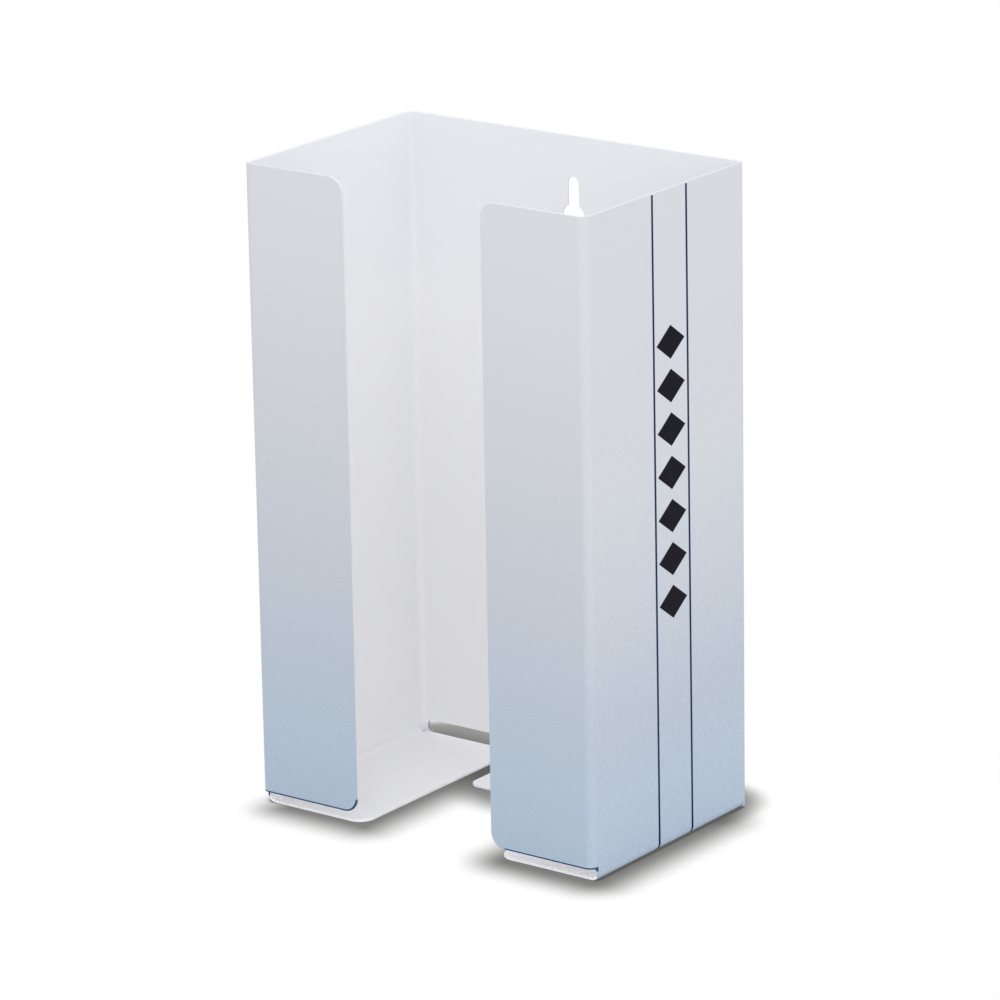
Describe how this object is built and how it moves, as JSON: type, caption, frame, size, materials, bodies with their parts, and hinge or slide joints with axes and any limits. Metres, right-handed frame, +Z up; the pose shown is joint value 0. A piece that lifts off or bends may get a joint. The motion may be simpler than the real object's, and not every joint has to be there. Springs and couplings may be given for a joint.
{
  "type": "disposable glove dispenser",
  "caption": "Open-front, open-top holder folded from sheet steel for a carton of disposable gloves; it stands on its base or hangs on a wall screw by its keyhole.",
  "frame": {"origin": "centre of the base, on the surface that the holder stands on", "axes": "+Z up; -Y out of the open front, between the flanges; +X to the right seen from the front"},
  "size_m": [0.1564, 0.1028, 0.254],
  "materials": {
    "powder_coat": "satin powder coat; outside fades from pale grey at the top to pale blue at the foot, inside is near white, with dark blue pinstripes down one side"
  },
  "bodies": {
    "root": {"folded_body": "powder_coat"}
  },
  "joints": []
}
